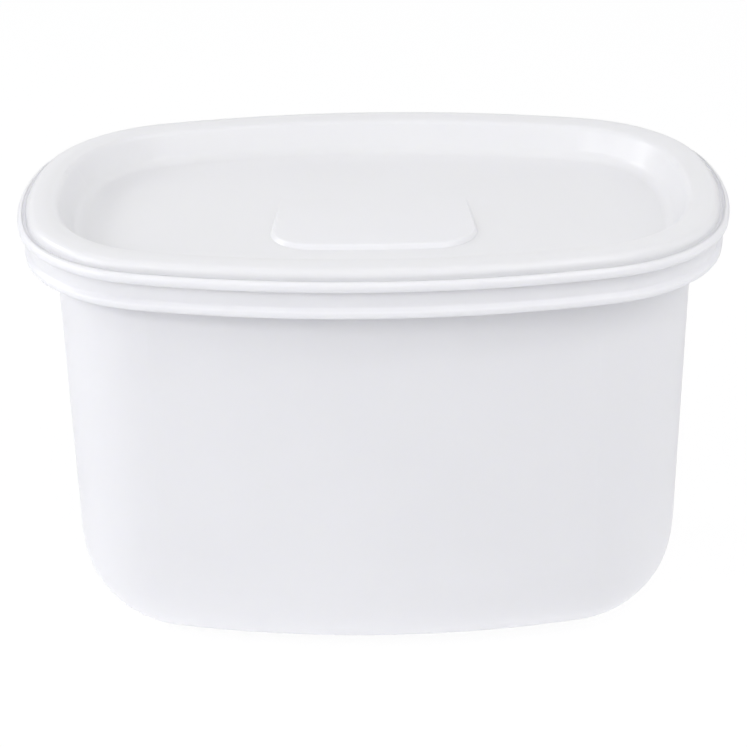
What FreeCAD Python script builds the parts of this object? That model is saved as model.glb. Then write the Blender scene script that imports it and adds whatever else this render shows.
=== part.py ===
import FreeCAD, Part
import math
import os

os.makedirs("parts", exist_ok=True)

# Oval food storage container, shut: a tub with a collar round its mouth, and a press-on lid with a
# stacking recess and a raised thumb pad. Millimetres. The origin is the centre of the base and +Z is
# up. X runs along the length and Y along the depth, with the thumb pad's free edge towards -Y.
# Every horizontal outline is an offset of one outline, the outer edge of the lid. In a section, an
# offset of 0 is that edge and a negative offset lies that far inside it.

# Overall sizes
length = 196.0
depth = 127.4
height = 126.0

# Plan outline: four corner arcs joined by bowed sides and ends
corner_radius = 44.5
side_turn = 14.0            # degrees that each half of a long side turns through
end_turn = 13.0             # degrees that each half of an end turns through

# Lid
lid_wall = 1.5
lid_skirt = 5.65            # top of the rim to the underside of the edge bead
edge_bead = 3.0             # height of the rounded bead along the lid's lower edge
rim_setback = 2.6           # outer side of the rim, in from the edge bead
rim_top = 8.8               # width of the rim's top, with its two rounded edges
rim_crown = 0.45            # rise of the rim's top from its edges to its middle
rim_outer_round = 2.4
rim_inner_round = 2.2
groove_width = 0.55         # groove between the rim's outer side and the edge bead
groove_drop = 0.65
recess_depth = 8.8
recess_lean = 27.0          # degrees that the recess wall leans back from upright
recess_foot_round = 4.0

# Thumb pad: a wedge that rises from the recess floor towards its free edge
pad_height = 1.3
pad_front = 25.7            # free edge, from the middle of the lid
pad_rise = 38.0             # run in which the pad rises from the floor to its free edge
pad_front_width = 56.5
pad_back_width = 49.5
pad_bow = 1.2               # bow of the free edge
pad_bow_round = 200.0
pad_corner = 11.5
pad_side_lean = 40.0        # degrees that the pad's sides lean back from upright
pad_edge_round = 0.7

# Tub
seat_gap = 0.3              # clearance between lid and tub, all over but on top of the rim
collar_height = 7.6
collar_setback = 1.5        # collar's rolled lip, in from the lid's edge bead
collar_lip = 2.6            # thickness of the rolled lip
collar_lip_height = 1.9
collar_step = 1.2           # face of the collar, in from its lip
collar_round = 0.8          # above the lip, where it turns into the face
flange_wall = 1.9
flange_round = 1.5          # under the flange, where the tub wall meets it
wall_setback = 9.75         # tub wall at the flange, in from the lid's edge bead
wall_draft = 1.36           # degrees
base_edge_round = 28.0
foot_width = 2.5            # band that the tub stands on
foot_height = 0.8
least_corner = 1.0          # least corner radius of any outline

edge_round = 0.4            # every other edge and inner corner

UP = FreeCAD.Vector(0, 0, 1)


def outline_arcs():
    """The eight tangent arcs of the plan outline, as (centre, radius, first angle, angle turned)."""
    half_length = length / 2
    half_depth = depth / 2
    side = math.radians(side_turn)
    end = math.radians(end_turn)
    # Two linear equations give the side and end radii that meet the corner arcs without a kink.
    a, b = math.sin(side), 1 - math.cos(end)
    c, d = 1 - math.cos(side), math.sin(end)
    p = half_length + corner_radius * (math.sin(side) - math.cos(end))
    q = half_depth + corner_radius * (math.sin(end) - math.cos(side))
    side_radius = (p * d - b * q) / (a * d - b * c)
    end_radius = (a * q - p * c) / (a * d - b * c)
    corner_x = (side_radius - corner_radius) * math.sin(side)
    corner_y = (end_radius - corner_radius) * math.sin(end)
    corner_turn = 90 - side_turn - end_turn
    arcs = []
    for half in (0, 180):
        sign = 1 if half == 0 else -1
        end_centre = FreeCAD.Vector(sign * (half_length - end_radius), 0, 0)
        side_centre = FreeCAD.Vector(0, sign * (half_depth - side_radius), 0)
        corner = FreeCAD.Vector(sign * corner_x, sign * corner_y, 0)
        next_corner = FreeCAD.Vector(-sign * corner_x, sign * corner_y, 0)
        arcs.append((end_centre, end_radius, half - end_turn, 2 * end_turn))
        arcs.append((corner, corner_radius, half + end_turn, corner_turn))
        arcs.append((side_centre, side_radius, half + 90 - side_turn, 2 * side_turn))
        arcs.append((next_corner, corner_radius, half + 90 + side_turn, corner_turn))
    return arcs


def rounded(corners):
    """Edges of a path through (point, rounding) corners, with a tangent arc at each rounding.

    The path starts and ends where its first and last arcs do. The runs that lead to the first corner
    and from the last one only give their directions.
    """
    edges = []
    reached = None
    for before, corner, after in zip(corners, corners[1:], corners[2:]):
        point, rounding = corner
        to_before = (before[0] - point).normalize()
        to_after = (after[0] - point).normalize()
        half_angle = to_before.getAngle(to_after) / 2
        reach = rounding / math.tan(half_angle)
        inward = (to_before + to_after).normalize()
        start = point + to_before * reach
        middle = point + inward * (rounding / math.sin(half_angle) - rounding)
        stop = point + to_after * reach
        if reached and reached.distanceToPoint(start) > 1e-6:
            edges.append(Part.makeLine(reached, start))
        edges.append(Part.Arc(start, middle, stop).toShape())
        reached = stop
    return edges


def section(corners):
    """Edges of an upright section through (offset, z, rounding) corners."""
    return rounded([(FreeCAD.Vector(offset, 0, z), rounding) for offset, z, rounding in corners])


def flat_face(offset, z):
    """The flat face inside the outline at the given offset and height."""
    edges = []
    for centre, radius, first, turned in outline_arcs():
        place = centre + UP * z
        edges.append(Part.makeCircle(radius + offset, place, UP, first, first + turned))
    return Part.Face(Part.Wire(edges))


def carried_round(edges):
    """The closed solid that a section gives when it is carried round the whole outline."""
    faces = []
    for centre, radius, first, turned in outline_arcs():
        for edge in edges:
            strip = edge.copy()
            strip.translate(FreeCAD.Vector(radius, 0, 0))
            strip.rotate(FreeCAD.Vector(0, 0, 0), UP, first)
            strip.translate(centre)
            faces.append(strip.revolve(centre, UP, turned))
    for end in (edges[0].firstVertex(True).Point, edges[-1].lastVertex(True).Point):
        faces.append(flat_face(end.x, end.z))
    shell = Part.makeShell(faces)
    shell.sewShape()
    solid = Part.makeSolid(shell)
    if solid.Volume < 0:
        solid.reverse()
    return solid


def recess_wall(z, behind=0.0):
    """Offset of the leaning recess wall at a height, or of the surface a distance behind it."""
    lean = math.radians(recess_lean)
    return -rim_setback - rim_top - (rim_edge - z) * math.tan(lean) + behind / math.cos(lean)


# Heights and offsets that the lid and the tub share
rim_edge = height - rim_crown
floor_top = height - recess_depth
floor_under = floor_top - lid_wall
rim_under = height - lid_wall
bead_under = height - lid_skirt
skirt_inside = -rim_setback - lid_wall
channel_outer_round = max(edge_round, rim_outer_round - lid_wall)
channel_inner_round = max(edge_round, rim_inner_round - lid_wall)
well_inside = -depth / 4    # any offset that lies well inside the recess


def lid_section():
    """From the recess floor over the rim, round the edge bead and back under the floor."""
    bead_top = bead_under + edge_bead
    groove = bead_top - groove_drop
    groove_outside = -rim_setback + groove_width
    bead_round = edge_bead / 2 - 0.05
    # The crown's slopes meet at its peak. Its rounding reaches a quarter of the way from there to
    # each edge, and takes an eighth off the peak.
    crown_peak = rim_crown * 8 / 7
    crown_round = rim_top ** 2 / (16 * crown_peak)
    return section([
        (well_inside, floor_top, 0),
        (recess_wall(floor_top), floor_top, recess_foot_round),
        (-rim_setback - rim_top, rim_edge, rim_inner_round),
        (-rim_setback - rim_top / 2, rim_edge + crown_peak, crown_round),
        (-rim_setback, rim_edge, rim_outer_round),
        (-rim_setback, groove, edge_round / 2),
        (groove_outside, groove, edge_round / 4),
        (groove_outside + groove_drop, bead_top, edge_round),
        (0, bead_top, bead_round),
        (0, bead_under, bead_round),
        (-edge_bead, bead_under, edge_round),
        (skirt_inside, bead_top, edge_round),
        (skirt_inside, rim_under, channel_outer_round),
        (recess_wall(rim_under, lid_wall), rim_under, channel_inner_round),
        (recess_wall(floor_under, lid_wall), floor_under, recess_foot_round + lid_wall),
        (well_inside, floor_under, 0),
    ])


def thumb_pad():
    """The wedge on the recess floor, sunk halfway into it, with its free edge at the front."""
    fade_y = pad_rise - pad_front
    back_y = fade_y + 2 * pad_corner
    front_half = pad_front_width / 2
    back_half = pad_back_width / 2
    corners = [
        (FreeCAD.Vector(-front_half, pad_bow - pad_front, 0), pad_corner),
        (FreeCAD.Vector(0, -pad_front, 0), pad_bow_round),
        (FreeCAD.Vector(front_half, pad_bow - pad_front, 0), pad_corner),
        (FreeCAD.Vector(back_half, back_y, 0), pad_corner),
        (FreeCAD.Vector(-back_half, back_y, 0), pad_corner),
    ]
    edges = rounded(corners + corners[:2])
    edges.append(Part.makeLine(edges[-1].lastVertex(True).Point, edges[0].firstVertex(True).Point))
    crown = Part.Wire(edges)
    sunk = lid_wall / 2
    drop = 2 * (pad_height + sunk)
    foot = crown.makeOffset2D(drop * math.tan(math.radians(pad_side_lean)))
    foot.translate(UP * -drop)
    wedge = Part.makeLoft([foot, crown], True, True)
    top_edges = [edge for edge in wedge.Edges if edge.BoundBox.ZMin > -1e-3]
    wedge = wedge.makeFillet(pad_edge_round, top_edges)
    tilt = math.degrees(math.atan(pad_height / pad_rise))
    wedge.rotate(FreeCAD.Vector(0, fade_y, 0), FreeCAD.Vector(1, 0, 0), -tilt)
    wedge.translate(UP * floor_top)
    slab = Part.makeBox(length, depth, sunk + 2 * pad_height,
                        FreeCAD.Vector(-length / 2, -depth / 2, floor_top - sunk))
    return wedge.common(slab)


def lid():
    """The moulded lid, with its thumb pad."""
    return carried_round(lid_section()).fuse(thumb_pad()).Solids[0]


def tub_section():
    """From under the base up the wall, round the flange and collar, and over the rim in the lid."""
    flange_top = bead_under - seat_gap
    collar_face = -collar_setback - collar_step
    lip_under = flange_top - collar_height
    lip_top = lip_under + collar_lip_height
    lip_inside = -collar_setback - collar_lip
    lip_round = collar_lip / 2 - 0.05
    flange_under = flange_top - flange_wall
    wall_foot = -wall_setback - flange_under * math.tan(math.radians(wall_draft))
    # The base edge's rounding leaves room for the foot inside the outline's corner arcs.
    base_round = min(base_edge_round, corner_radius + wall_foot - foot_width - least_corner)
    foot_inside = wall_foot - base_round - foot_width
    rim_side = skirt_inside - seat_gap
    behind = lid_wall + seat_gap
    fill_top = floor_under - seat_gap
    return section([
        (foot_inside - foot_width, foot_height, 0),
        (foot_inside - edge_round, foot_height, edge_round / 2),
        (foot_inside, 0, edge_round / 2),
        (wall_foot, 0, base_round),
        (-wall_setback, flange_under, flange_round),
        (lip_inside, flange_under, flange_round),
        (lip_inside, lip_under, lip_round),
        (-collar_setback, lip_under, lip_round),
        (-collar_setback, lip_top, collar_round),
        (collar_face, lip_top + collar_step, collar_round),
        (collar_face, flange_top, edge_round),
        (rim_side, flange_top, edge_round),
        (rim_side, rim_under, channel_outer_round + seat_gap),
        (recess_wall(rim_under, behind), rim_under, channel_inner_round + seat_gap),
        (recess_wall(fill_top, behind), fill_top, recess_foot_round + behind),
        (well_inside, fill_top, 0),
    ])


def tub():
    """The tub, solid inside because it is shut."""
    return carried_round(tub_section())


for name, shape in (("tub", tub()), ("lid", lid())):
    shape.exportStep("parts/" + name + ".step")
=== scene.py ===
import math

import bpy
from mathutils import Matrix, Vector


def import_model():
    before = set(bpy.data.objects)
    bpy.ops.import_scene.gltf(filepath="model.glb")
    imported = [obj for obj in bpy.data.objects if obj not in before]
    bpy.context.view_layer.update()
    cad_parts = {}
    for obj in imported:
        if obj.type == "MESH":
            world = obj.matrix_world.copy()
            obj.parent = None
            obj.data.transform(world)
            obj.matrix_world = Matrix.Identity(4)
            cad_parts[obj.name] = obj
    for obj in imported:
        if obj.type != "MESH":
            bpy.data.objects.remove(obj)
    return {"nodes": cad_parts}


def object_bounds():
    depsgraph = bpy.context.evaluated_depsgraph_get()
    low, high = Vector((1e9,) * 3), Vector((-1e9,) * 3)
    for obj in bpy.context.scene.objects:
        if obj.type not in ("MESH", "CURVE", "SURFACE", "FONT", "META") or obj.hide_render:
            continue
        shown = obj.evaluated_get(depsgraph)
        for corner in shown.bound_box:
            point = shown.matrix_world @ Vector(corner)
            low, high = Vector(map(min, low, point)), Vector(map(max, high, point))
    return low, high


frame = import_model()
cad_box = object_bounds()

# An oval food storage container in satin white plastic, shut, on a pale floor in soft studio light.
# Metres and watts. The CAD solids are shown as they are; this script gives them their plastics.

# Plastics: colours are linear, and noise scales count cells in a metre
TUB_WHITE = (0.845, 0.845, 0.865)
TUB_ROUGHNESS = 0.34
TUB_RIPPLE = 0.00004        # height of the flow ripples
TUB_GRAIN = 0.000004        # height of the skin grain
LID_WHITE = (0.84, 0.84, 0.86)
LID_ROUGHNESS = 0.3
LID_RIPPLE = 0.00003
LID_GRAIN = 0.000003
TINT_SHADE = 0.985          # of the colour, where it is darkest
TINT_SCALE = 22.0
GLOSS_BELOW = 0.02          # the roughness wanders from this much below its value
GLOSS_ABOVE = 0.03          # to this much above it
GLOSS_SCALE = 60.0
GLOSS_DETAIL = 4.0
RIPPLE_SCALE = 90.0
GRAIN_SCALE = 2600.0
PLASTIC_IOR = 1.49
SUBSURFACE_WEIGHT = 0.6
SUBSURFACE_RADIUS = (0.0022, 0.0022, 0.0024)

# Floor and surroundings
FLOOR_SIZE = 12.0
FLOOR_WHITE = (0.9, 0.9, 0.905)
PAINTED_POOL_STRENGTH = 0.25         # strength of the painted pool of light: the floor glows in an oval under the tub, though it is no lamp
PAINTED_POOL_START = 0.8          # where it starts to fade, in half lengths and half depths of the container
PAINTED_POOL_STOP = 1.6           # where it has faded away
FLOOR_WHITENESS = 0.9       # share of plain white in what the camera sees of the floor
FLOOR_GLOW = 1.03           # strength of that white
FILL_COLOUR = (0.985, 0.99, 1.04)
FILL_STRENGTH = 0.25        # of the surroundings, as matt surfaces are lit by them
SHEEN_STRENGTH = 0.75       # of the surroundings, as reflections show them
CAMERA_WHITE = 1.0          # of the surroundings, as the camera sees them

# Softboxes: name, place, size, watts, colour, and whether reflections show it. The one that they
# don't show would blow out the lid when it is seen from the other end.
PLAIN = (1, 1, 1)
COOL = (0.99, 0.995, 1.02)
SOFTBOXES = (
    ("key", (-1.0, -0.4, 0.45), (0.6, 0.6), 3.4, COOL, True),
    ("left_high", (-1.0, 0.3, 0.62), (0.25, 0.25), 2.5, PLAIN, True),
    ("right", (1.15, -0.15, 0.6), (1.3, 1.1), 5.7, PLAIN, False),
    ("front_top", (0, -0.95, 1.05), (1.4, 0.8), 3.8, PLAIN, True),
    ("front_low", (0.1, -1.15, 0.7), (0.8, 0.35), 0.8, PLAIN, True),
    ("top", (0, 0, 1.3), (1.4, 1.4), 3.5, PLAIN, True),
    ("back", (0, 1.2, 0.6), (1.5, 0.8), 1.2, PLAIN, True),
    ("left_streak", (-0.62, -0.77, 0.74), (0.15, 0.15), 1.1, PLAIN, True),
    ("right_streak", (0.48, -0.52, 1.03), (0.15, 0.15), 1.1, PLAIN, True),
)

# Camera
CAMERA_DISTANCE = 0.735
CAMERA_LENS = 123.78        # millimetres
SENSOR_WIDTH = 36.0         # millimetres
CAMERA_NEAR = 0.01
CAMERA_YAW = 0.035          # degrees
CAMERA_PITCH = 25.35        # degrees, looking down
CAMERA_ROLL = -0.81         # degrees
AIM_SIDE = -0.0006
AIM_HEIGHT = 0.0679


def new_material(name):
    """A material with an empty node tree. Returns the material and its nodes and links."""
    material = bpy.data.materials.new(name)
    material.use_nodes = True
    nodes = material.node_tree.nodes
    nodes.clear()
    return material, nodes, material.node_tree.links


def noise(nodes, links, where, scale, detail=2.0):
    """Three-dimensional noise that follows the object's own coordinates. Returns its Fac output."""
    node = nodes.new("ShaderNodeTexNoise")
    node.noise_dimensions = "3D"
    node.inputs["Scale"].default_value = scale
    node.inputs["Detail"].default_value = detail
    links.new(where, node.inputs["Vector"])
    return node.outputs["Fac"]


def remap(nodes, links, value, low, high, start=0.3, stop=0.7):
    """Carries a value between start and stop, where most noise lies, to the range from low to high."""
    node = nodes.new("ShaderNodeMapRange")
    node.inputs["From Min"].default_value = start
    node.inputs["From Max"].default_value = stop
    node.inputs["To Min"].default_value = low
    node.inputs["To Max"].default_value = high
    links.new(value, node.inputs["Value"])
    return node.outputs["Result"]


def moulded_plastic(name, colour, roughness, ripple, grain):
    """Satin white moulded plastic: faint flow ripples, a fine skin grain and a little depth."""
    material, nodes, links = new_material(name)
    shader = nodes.new("ShaderNodeBsdfPrincipled")
    out = nodes.new("ShaderNodeOutputMaterial")
    links.new(shader.outputs["BSDF"], out.inputs["Surface"])
    where = nodes.new("ShaderNodeTexCoord").outputs["Object"]

    tint = nodes.new("ShaderNodeMix")
    tint.data_type = "RGBA"
    tint.inputs["A"].default_value = (*colour, 1)
    tint.inputs["B"].default_value = (*(part * TINT_SHADE for part in colour), 1)
    uneven = noise(nodes, links, where, TINT_SCALE)
    links.new(remap(nodes, links, uneven, 0.0, 1.0), tint.inputs["Factor"])
    links.new(tint.outputs["Result"], shader.inputs["Base Color"])

    patchy = noise(nodes, links, where, GLOSS_SCALE, GLOSS_DETAIL)
    gloss = remap(nodes, links, patchy, roughness - GLOSS_BELOW, roughness + GLOSS_ABOVE)
    links.new(gloss, shader.inputs["Roughness"])

    shader.inputs["IOR"].default_value = PLASTIC_IOR
    shader.inputs["Subsurface Weight"].default_value = SUBSURFACE_WEIGHT
    shader.inputs["Subsurface Radius"].default_value = SUBSURFACE_RADIUS
    shader.inputs["Subsurface Scale"].default_value = 1.0

    normal = None
    for scale, height in ((RIPPLE_SCALE, ripple), (GRAIN_SCALE, grain)):
        bump = nodes.new("ShaderNodeBump")
        bump.inputs["Strength"].default_value = 1.0
        bump.inputs["Distance"].default_value = height
        links.new(noise(nodes, links, where, scale), bump.inputs["Height"])
        if normal:
            links.new(normal, bump.inputs["Normal"])
        normal = bump.outputs["Normal"]
    links.new(normal, shader.inputs["Normal"])
    return material


def dress(node, material):
    """Gives a CAD node its material."""
    slots = frame["nodes"][node].data.materials
    slots.clear()
    slots.append(material)


def painted_light_pool(nodes, links):
    """A painted pool of light: the floor near the tub glows in an oval, though it is no lamp, and lights
    the tub's base from below.
    """
    half_size = cad_box[1]
    oval = nodes.new("ShaderNodeMapping")
    oval.inputs["Scale"].default_value = (1 / half_size.x, 1 / half_size.y, 1)
    links.new(nodes.new("ShaderNodeTexCoord").outputs["Object"], oval.inputs["Vector"])
    reach = nodes.new("ShaderNodeVectorMath")
    reach.operation = "LENGTH"
    links.new(oval.outputs["Vector"], reach.inputs[0])
    painted_pool = nodes.new("ShaderNodeEmission")
    fade = remap(nodes, links, reach.outputs["Value"], PAINTED_POOL_STRENGTH, 0.0, PAINTED_POOL_START, PAINTED_POOL_STOP)
    links.new(fade, painted_pool.inputs["Strength"])
    return painted_pool.outputs["Emission"]


def floor():
    """A pale floor, white to the camera but for a faint contact shadow, with a painted pool of light
    under the tub that lights the tub's base.
    """
    bpy.ops.mesh.primitive_plane_add(size=FLOOR_SIZE, location=(0, 0, 0))
    plane = bpy.context.object
    plane.name = "floor"
    material, nodes, links = new_material("floor_white")
    path = nodes.new("ShaderNodeLightPath")
    diffuse = nodes.new("ShaderNodeBsdfDiffuse")
    diffuse.inputs["Color"].default_value = (*FLOOR_WHITE, 1)

    lit = nodes.new("ShaderNodeAddShader")
    links.new(diffuse.outputs["BSDF"], lit.inputs[0])
    # painted light: a glowing oval on the floor under the tub, seen by every ray but the camera's
    links.new(painted_light_pool(nodes, links), lit.inputs[1])

    glow = nodes.new("ShaderNodeEmission")
    glow.inputs["Strength"].default_value = FLOOR_GLOW
    shown = nodes.new("ShaderNodeMixShader")
    shown.inputs["Fac"].default_value = FLOOR_WHITENESS
    links.new(diffuse.outputs["BSDF"], shown.inputs[1])
    links.new(glow.outputs["Emission"], shown.inputs[2])

    mix = nodes.new("ShaderNodeMixShader")
    out = nodes.new("ShaderNodeOutputMaterial")
    links.new(path.outputs["Is Camera Ray"], mix.inputs["Fac"])
    links.new(lit.outputs["Shader"], mix.inputs[1])
    links.new(shown.outputs["Shader"], mix.inputs[2])
    links.new(mix.outputs["Shader"], out.inputs["Surface"])
    plane.data.materials.append(material)


def world():
    """White to the camera, paler grey in reflections, and a soft all-round fill on everything else."""
    made = bpy.data.worlds.new("studio")
    bpy.context.scene.world = made
    made.use_nodes = True
    nodes, links = made.node_tree.nodes, made.node_tree.links
    nodes.clear()
    path = nodes.new("ShaderNodeLightPath")
    shown = None
    for ray, colour, strength in (
        (None, FILL_COLOUR, FILL_STRENGTH),
        ("Is Glossy Ray", PLAIN, SHEEN_STRENGTH),
        ("Is Camera Ray", PLAIN, CAMERA_WHITE),
    ):
        sky = nodes.new("ShaderNodeBackground")
        sky.inputs["Color"].default_value = (*colour, 1)
        sky.inputs["Strength"].default_value = strength
        if ray is None:
            shown = sky.outputs["Background"]
            continue
        mix = nodes.new("ShaderNodeMixShader")
        links.new(path.outputs[ray], mix.inputs["Fac"])
        links.new(shown, mix.inputs[1])
        links.new(sky.outputs["Background"], mix.inputs[2])
        shown = mix.outputs["Shader"]
    out = nodes.new("ShaderNodeOutputWorld")
    links.new(shown, out.inputs["Surface"])


def softbox(name, place, size, watts, colour, mirrored):
    """A rectangular area lamp at place, turned towards the middle of the container."""
    light = bpy.data.lights.new(name, "AREA")
    light.shape = "RECTANGLE"
    light.size, light.size_y = size
    light.energy = watts
    light.color = colour
    lamp = bpy.data.objects.new(name, light)
    bpy.context.scene.collection.objects.link(lamp)
    lamp.location = place
    lamp.visible_glossy = mirrored
    towards = Vector((0, 0, AIM_HEIGHT)) - lamp.location
    lamp.rotation_euler = towards.to_track_quat("-Z", "Y").to_euler()


def camera():
    """The camera, aimed at the container's axis from its distance, yaw, pitch and roll."""
    yaw, pitch = math.radians(CAMERA_YAW), math.radians(CAMERA_PITCH)
    roll = math.radians(CAMERA_ROLL)
    ahead = Vector((-math.sin(yaw) * math.cos(pitch), math.cos(yaw) * math.cos(pitch), -math.sin(pitch)))
    level = Vector((math.cos(yaw), math.sin(yaw), 0))
    above = level.cross(ahead)
    right = level * math.cos(roll) + above * math.sin(roll)
    up = above * math.cos(roll) - level * math.sin(roll)
    data = bpy.data.cameras.new("camera")
    data.lens = CAMERA_LENS
    data.sensor_width = SENSOR_WIDTH
    data.clip_start = CAMERA_NEAR
    made = bpy.data.objects.new("camera", data)
    bpy.context.scene.collection.objects.link(made)
    turn = Matrix((right, up, -ahead)).transposed().to_4x4()
    place = Vector((0, 0, AIM_HEIGHT)) + right * AIM_SIDE - ahead * CAMERA_DISTANCE
    made.matrix_world = Matrix.Translation(place) @ turn
    bpy.context.scene.camera = made


camera()
dress("tub", moulded_plastic("tub_plastic", TUB_WHITE, TUB_ROUGHNESS, TUB_RIPPLE, TUB_GRAIN))
dress("lid", moulded_plastic("lid_plastic", LID_WHITE, LID_ROUGHNESS, LID_RIPPLE, LID_GRAIN))
floor()
world()
for row in SOFTBOXES:
    softbox(*row)

bpy.context.scene.view_settings.view_transform = "Standard"
